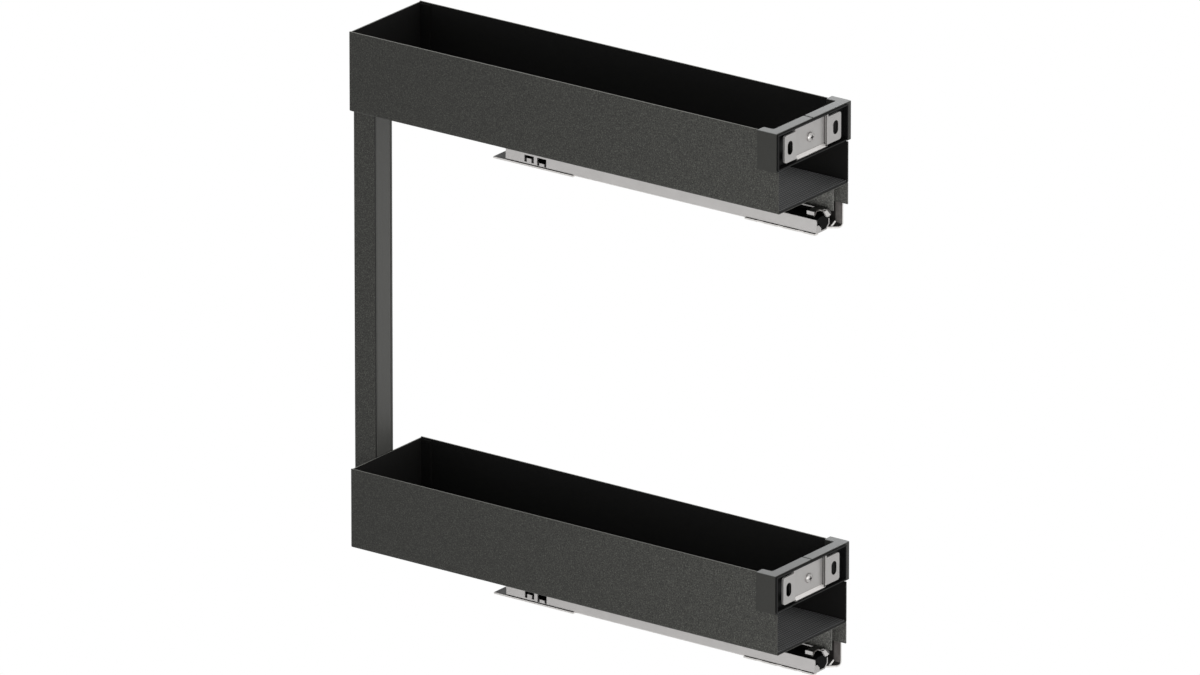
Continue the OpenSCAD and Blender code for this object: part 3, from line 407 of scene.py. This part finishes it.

# Mats: dark rubber sheets with a fine pattern of raised dots, cut to the trays' floors. They lie
# loose. Towards the rear of a tray the dots are painted into the ground's dark colour, as painted
# shade where less light falls.
dot_pitch = 0.0030
dot_edge = (0.42, 0.30)
dot_rise = 0.0002
mat_ground = (0.006, 0.0062, 0.0065)
mat_dot = (0.134, 0.136, 0.137)
mat_cut = (0.012, 0.0122, 0.0125)
mat_shiny = 0.45
mat_dull = 0.7
mat_specular = 0.3
mat_cloud = {"Scale": 60, "Detail": 3}
mat_lit_depth = 0.11
mat_rear_shade = 0.45


def make_mat_rubber():
    """Rubber with a grid of low round dots, a little lighter than the ground between them."""
    material = bpy.data.materials.new("dotted mat rubber")
    material.use_nodes = True
    tree = material.node_tree
    surface = tree.nodes["Principled BSDF"].inputs
    surface["Specular IOR Level"].default_value = mat_specular
    place = put(tree, "TexCoord").outputs["Object"]
    dots = put(tree, "TexVoronoi", Scale=1 / dot_pitch, Randomness=0)
    dots.voronoi_dimensions = "2D"
    tree.links.new(place, dots.inputs["Vector"])
    raised = ramp(tree, dots.outputs["Distance"], *dot_edge)
    tree.links.new(blend(tree, raised, mat_ground, mat_dot), surface["Base Color"])
    cloud = put(tree, "TexNoise", **mat_cloud)
    tree.links.new(place, cloud.inputs["Vector"])
    roughness = ramp(tree, cloud.outputs["Fac"], 0, 1, mat_shiny, mat_dull)
    tree.links.new(roughness, surface["Roughness"])
    bump = put(tree, "Bump", Strength=0.5, Distance=dot_rise)
    tree.links.new(raised, bump.inputs["Height"])
    tree.links.new(bump.outputs["Normal"], surface["Normal"])
    return material


mat_rubber = make_mat_rubber()
tree = mat_rubber.node_tree
where, look = point_parts(tree)
# Painted shade: the dots fade into the dark ground towards the rear.
rear_shade = ramp(tree, where["X"], tray_front, tray_front - mat_lit_depth, high=mat_rear_shade)
paint(mat_rubber, rear_shade, mat_ground)
paint(mat_rubber, ramp(tree, look["X"], *square_on), mat_cut)
dress(["tray_mat"], mat_rubber)

# Front frames: shallow folded pans in a smooth, nearly black lacquer, tabbed into the trays. They
# close the trays' open fronts at the top and hold the door plates.
frame_lacquer = powder_coat(
    "dark frame lacquer", (0.006, 0.006, 0.006), (0.008, 0.008, 0.008), (0.004, 0.004, 0.004),
    scale=1000, height=0.1, gloss=0.3, specular=0.12,
)
dress(["front_frame"], frame_lacquer)

# Corner caps: moulded plastic in a plain dark grey, clipped over the front ends of the trays'
# walls and over the ends of the frames.
cap_plastic = powder_coat(
    "cap plastic", (0.037, 0.037, 0.034), (0.041, 0.041, 0.037), (0.033, 0.033, 0.030),
    scale=1500, height=0.12, gloss=0.3, specular=0.2,
)
dress(["near_cap", "far_cap"], cap_plastic)

# Trim plates: thin lacquered sheet, light grey, glued on the tops of the caps. They grow a little
# darker towards the near side.
trim_lacquer = powder_coat(
    "light trim lacquer", (0.315, 0.320, 0.318), (0.34, 0.345, 0.342), (0.29, 0.295, 0.292),
    scale=1500, height=0.1, gloss=0.25, specular=0.3,
)
trim_near_side = (0.235, 0.24, 0.238)
tree = trim_lacquer.node_tree
where = point_parts(tree)[0]
paint(trim_lacquer, ramp(tree, where["Y"], tray_far, tray_near), trim_near_side)
dress(["cap_trims"], trim_lacquer)

# Runner rails and carriers: sheet steel, punched, folded and zinc plated. The plating is a soft
# pinkish grey with a faint cloud and rolled streaks. Inside the races it is painted black, for
# grease and for the shade there; at the front the tray rails' tops and near cut faces, and the
# stops' far corners, are painted dark as shade under the hangers.
zinc_cloud_edges = (0.35, 0.7)
zinc_stretch = (40, 2600, 2600)
zinc_gloss = 0.25
streak_rise = 0.00005
race_middle = -0.0359
race_level = 0.39966
race_reach = 0.0089
race_front = 0.0305
race_sides = (0.7, 0.5)
front_edge = 0.0002
edge_width = 0.001
grease_and_shade = (0.012, 0.011, 0.010)
below_foot = -0.2
slanting = (0.3, 0.5)
tray_rail_level = -0.0083
tray_rail_reach = 0.0042
covered_rail_shade = (0.035, 0.034, 0.031)
cut_in_shade = (0.11, 0.10, 0.093)
clean_cut = (0.40, 0.388, 0.38)
stop_corner = (-0.0378, -0.0374)
stop_shaded = (0.035, 0.032, 0.030)
rail_metallic = 0.7
front_metallic = 0.2


def build_zinc():
    """Zinc plating: two cloudy tones, rolling streaks along X, and their gloss and height."""
    group = bpy.data.node_groups.new("zinc cloud", "ShaderNodeTree")
    add_sockets(
        group,
        (("Tone", "C"), ("Shade", "C"), ("Cloud Scale", "F"), ("Streaks", "F"), ("Gloss", "F")),
        (("Color", "C"), ("Roughness", "F"), ("Normal", "V")),
    )
    link = group.links.new
    given = group.nodes.new("NodeGroupInput").outputs
    made = group.nodes.new("NodeGroupOutput").inputs
    place = put(group, "TexCoord").outputs["Object"]
    clouds = put(group, "TexNoise", Detail=4, Roughness=0.6)
    link(place, clouds.inputs["Vector"])
    link(given["Cloud Scale"], clouds.inputs["Scale"])
    cloud = clouds.outputs["Fac"]
    shaded = ramp(group, cloud, *zinc_cloud_edges)
    link(blend(group, shaded, given["Tone"], given["Shade"]), made["Color"])
    link(reckon(group, "MULTIPLY_ADD", cloud, zinc_gloss, given["Gloss"]), made["Roughness"])
    stretch = put(group, "Mapping", Scale=zinc_stretch)
    link(place, stretch.inputs["Vector"])
    streaks = put(group, "TexNoise", Scale=1, Detail=2)
    link(stretch.outputs[0], streaks.inputs["Vector"])
    bump = put(group, "Bump", Distance=streak_rise)
    link(given["Streaks"], bump.inputs["Strength"])
    link(streaks.outputs["Fac"], bump.inputs["Height"])
    link(bump.outputs["Normal"], made["Normal"])
    return group


zinc_cloud = build_zinc()


def metal_finish(name, tone, shade, cloud_scale, streaks, gloss, metallic):
    """A bare or plated metal finish with faint clouds and rolling streaks."""
    values = {
        "Tone": tone, "Shade": shade, "Cloud Scale": cloud_scale,
        "Streaks": streaks, "Gloss": gloss,
    }
    return new_material(name, zinc_cloud, values, metallic, specular=0.5)


def near(tree, value, middle, reach):
    """One where a value lies within reach of a middle one."""
    return reckon(tree, "COMPARE", value, middle, reach)


def build_race():
    """One within a ball race, nought outside it, past its front and on faces that look forward."""
    group = bpy.data.node_groups.new("inside of a ball race", "ShaderNodeTree")
    add_sockets(group, (), (("Mask", "F"),))
    where, look = point_parts(group)
    mask = all_of(
        group,
        near(group, where["Y"], race_middle, race_reach),
        near(group, one_level(group, where["Z"]), race_level, race_reach),
        ramp(group, where["X"], race_front + front_edge, race_front - front_edge),
        ramp(group, look["X"], *race_sides),
    )
    group.links.new(mask, group.nodes.new("NodeGroupOutput").inputs["Mask"])
    return group


race = build_race()
rail_zinc = metal_finish(
    "zinc on the rails", (0.535, 0.521, 0.512), (0.515, 0.501, 0.492),
    cloud_scale=70, streaks=0.3, gloss=0.28, metallic=rail_metallic,
)
# Painted black inside the races, for grease and for the shade there.
paint_within(rail_zinc, race, grease_and_shade)
tree = rail_zinc.node_tree
where, look = point_parts(tree)
level = one_level(tree, where["Z"], below_foot)
forward = ramp(tree, look["X"], *square_on)
before_stop = ramp(tree, where["X"], race_front + 3 * front_edge, race_front + 2 * front_edge)
paint(rail_zinc, all_of(tree, forward, before_stop), clean_cut)
front_of_tray_rail = all_of(
    tree,
    near(tree, level, tray_rail_level, tray_rail_reach),
    ramp(tree, where["X"], 0, edge_width),
)
upward = ramp(tree, look["Z"], *slanting)
# Painted shade: the tray rails' upward faces at the front, under the hangers.
paint(rail_zinc, all_of(tree, front_of_tray_rail, upward), covered_rail_shade)
near_half = ramp(tree, where["Y"], race_middle + edge_width, race_middle - edge_width)
# Painted shade: the tray rails' near cut faces at the front.
paint(rail_zinc, all_of(tree, front_of_tray_rail, near_half, forward), cut_in_shade)
far_corner = ramp(tree, reckon(tree, "ADD", where["Y"], level), *stop_corner)
on_stop = ramp(tree, where["X"], race_front + front_edge / 2, race_front + 3 * front_edge / 2)
paint(rail_zinc, all_of(tree, far_corner, on_stop), stop_shaded)
metallic = ramp(
    tree, where["X"], race_front - front_edge, race_front + front_edge,
    rail_metallic, front_metallic,
)
tree.links.new(metallic, tree.nodes["Principled BSDF"].inputs["Metallic"])
dress(["rail_carrier", "tray_rail", "fixed_rail"], rail_zinc)

# Middle rails: the same sheet rolled to eight sides. They run on balls between the fixed rails
# and the tray rails. Their zinc is painted nearly black all over, as the shade inside the fixed
# rails.
# Painted shade: the middle rails' zinc is nearly black.
middle_zinc_as_shade = metal_finish(
    "zinc on the middle rails, dark as shade", (0.030, 0.029, 0.028), (0.020, 0.019, 0.018),
    cloud_scale=70, streaks=0.35, gloss=0.25, metallic=0.75,
)
dress(["middle_rail"], middle_zinc_as_shade)

# Wall angles: the same sheet, screwed to the cabinet side. Near the front, the floor and the near
# side of the flange are painted dark as the hanger's shade, the flange's near side darker towards
# the top, and the floor beside the rail is painted black for grease and shade. The cut edges and
# the feet's sides are bare.
angle_front = 0.0272
angle_wiped = 0.007
angle_shade_depth = 0.030
foot_edge = -0.030
shade_low = -0.026
shade_high = 0.008
shade_most = 0.62
nearward_faces = (-0.5, -0.7)
upward_faces = (0.3, 0.6)
angle_shade = (0.055, 0.051, 0.048)
angle_upper_shade = (0.030, 0.025, 0.023)
bare_edges = (0.72, 0.70, 0.68)
angle_zinc = metal_finish(
    "zinc on the wall angles", (0.475, 0.445, 0.430), (0.27, 0.248, 0.236),
    cloud_scale=140, streaks=0.3, gloss=0.3, metallic=0.5,
)
tree = angle_zinc.node_tree
where, look = point_parts(tree)
nearward = ramp(tree, look["Y"], *nearward_faces)
upward = ramp(tree, look["Z"], *upward_faces)
strip_edge = angle_front - angle_wiped
in_hanger_shade = ramp(tree, where["X"], angle_front - 2 * angle_shade_depth, angle_front - angle_shade_depth)
behind_strip = ramp(tree, where["X"], strip_edge, strip_edge - edge_width)
beside_rail = ramp(tree, where["Y"], foot_edge, foot_edge - edge_width)
level = one_level(tree, where["Z"], below_foot)
darker_upward = ramp(tree, level, shade_low, shade_high, high=shade_most)
on_strip = ramp(tree, where["X"], angle_front - 3 * angle_wiped, strip_edge)
# Painted shade under the hanger, on the flange's near side and on the floor.
paint(angle_zinc, all_of(tree, in_hanger_shade, behind_strip, nearward), angle_shade)
paint(angle_zinc, all_of(tree, in_hanger_shade, upward), angle_shade)
# Painted black on the floor beside the rail, for grease and for the shade there.
paint(angle_zinc, all_of(tree, upward, beside_rail), grease_and_shade)
# Painted shade: the flange's near side grows darker towards the top, under the hanger.
paint(angle_zinc, all_of(tree, darker_upward, nearward, on_strip), angle_upper_shade)
paint(angle_zinc, ramp(tree, look["X"], *square_on), bare_edges)
foot_sides = all_of(tree, ramp(tree, look["Y"], -square_on[0], -square_on[1]), beside_rail)
paint(angle_zinc, foot_sides, bare_edges)
dress(["wall_angle"], angle_zinc)

# Door plates: thicker steel, pressed in steps and slotted at both ends for the door's screws, with
# an even satin zinc. Upward faces are painted bright as a highlight, with a darker painted line
# along the flange; the bends are painted dark as shade, and the slots' walls nearly black as the
# shade inside them. Each is clamped in its frame by one screw.
plate_front = 0.0332
plate_upward = (0.4, 0.6)
plate_top_highlight = (0.74, 0.72, 0.70)
flange_line_shade = (0.30, 0.29, 0.28)
flange_line_reach = 0.0003
bend_lines = (plate_front + 0.0005, plate_front + 0.0022)
bend_reach = 0.0005
bend_place = -0.0382
bend_shade = (0.05, 0.047, 0.045)
slot_places = (-0.0938, -0.0252)
slot_level = 0.0711
slot_reach = (0.0040, 0.0066)
slot_wall_shade = (0.02, 0.019, 0.018)
sideways_reach = 0.5
plate_zinc = metal_finish(
    "satin zinc on the door plates", (0.375, 0.365, 0.357), (0.36, 0.350, 0.342),
    cloud_scale=120, streaks=0.2, gloss=0.2, metallic=0.45,
)
tree = plate_zinc.node_tree
where, look = point_parts(tree)
upward = ramp(tree, look["Z"], *plate_upward)
# Painted highlight on the upward faces.
paint(plate_zinc, upward, plate_top_highlight)
on_line = near(tree, where["X"], plate_front, flange_line_reach)
# Painted shade: a darker line along the flange.
paint(plate_zinc, all_of(tree, upward, on_line), flange_line_shade)
at_bend = near(tree, where["Y"], bend_place, edge_width)
for line in bend_lines:
    bend = all_of(tree, near(tree, where["X"], line, bend_reach), at_bend)
    paint(plate_zinc, bend, bend_shade)
sideways = near(tree, look["X"], 0, sideways_reach)
at_slots = near(tree, one_level(tree, where["Z"]), slot_level, slot_reach[1])
# Painted shade: the slots' walls are nearly black.
for place in slot_places:
    slot = all_of(tree, near(tree, where["Y"], place, slot_reach[0]), at_slots, sideways)
    paint(plate_zinc, slot, slot_wall_shade)
dress(["door_plate"], plate_zinc)

# Screws, rivets, damper cylinders and springs: bright nickelled steel, turned, cold headed or
# wound. The cross in the head of each plate screw is in shadow.
head_place = -0.0595
head_middle = 0.0024
head_height = 0.0021
recess_edge = 0.0001
recess_shade = (0.02, 0.02, 0.02)
bright_steel = metal_finish(
    "bright steel", (0.46, 0.45, 0.44), (0.34, 0.33, 0.32),
    cloud_scale=400, streaks=0.15, gloss=0.2, metallic=1,
)
tree = bright_steel.node_tree
where, look = point_parts(tree)
recess = all_of(
    tree,
    near(tree, where["Y"], head_place, head_middle),
    near(tree, one_level(tree, where["Z"]), slot_level, head_middle),
    ramp(tree, where["X"], plate_front, plate_front + recess_edge),
    ramp(tree, where["X"], plate_front + head_height, plate_front + head_height - recess_edge),
)
paint(bright_steel, recess, recess_shade)
dress(
    [
        "carrier_rivets", "rail_rivets", "damper_cylinder", "return_spring",
        "plate_screw", "column_screws",
    ],
    bright_steel,
)

# Bearing balls: hardened and polished steel, sixteen in each cage. They roll in the corners of
# the races.
ball_steel = metal_finish(
    "polished ball steel", (0.66, 0.66, 0.67), (0.60, 0.60, 0.61),
    cloud_scale=300, streaks=0, gloss=0.02, metallic=1,
)
dress(["tray_balls", "wall_balls"], ball_steel)

# Noses, cages, soft-close housings and pegs: black moulded plastic with a faint spark-eroded skin.
# They are pushed into the steel parts or clipped on them.
black_plastic = powder_coat(
    "black moulded plastic", (0.004, 0.004, 0.004), (0.005, 0.005, 0.005), (0.003, 0.003, 0.003),
    scale=1400, height=0.2, gloss=0.35, specular=0.025,
)
dress(
    ["tray_cage", "wall_cage", "middle_nose", "damper_housing", "catch_peg"],
    black_plastic,
)

# Soft-close catches with their rods: slippery moulded plastic in a warm grey. They slide in the
# housings' slots.
catch_plastic = powder_coat(
    "slippery catch plastic", (0.16, 0.15, 0.13), (0.18, 0.17, 0.15), (0.14, 0.13, 0.11),
    scale=1100, height=0.1, gloss=0.15, specular=0.5,
)
dress(["catch"], catch_plastic)
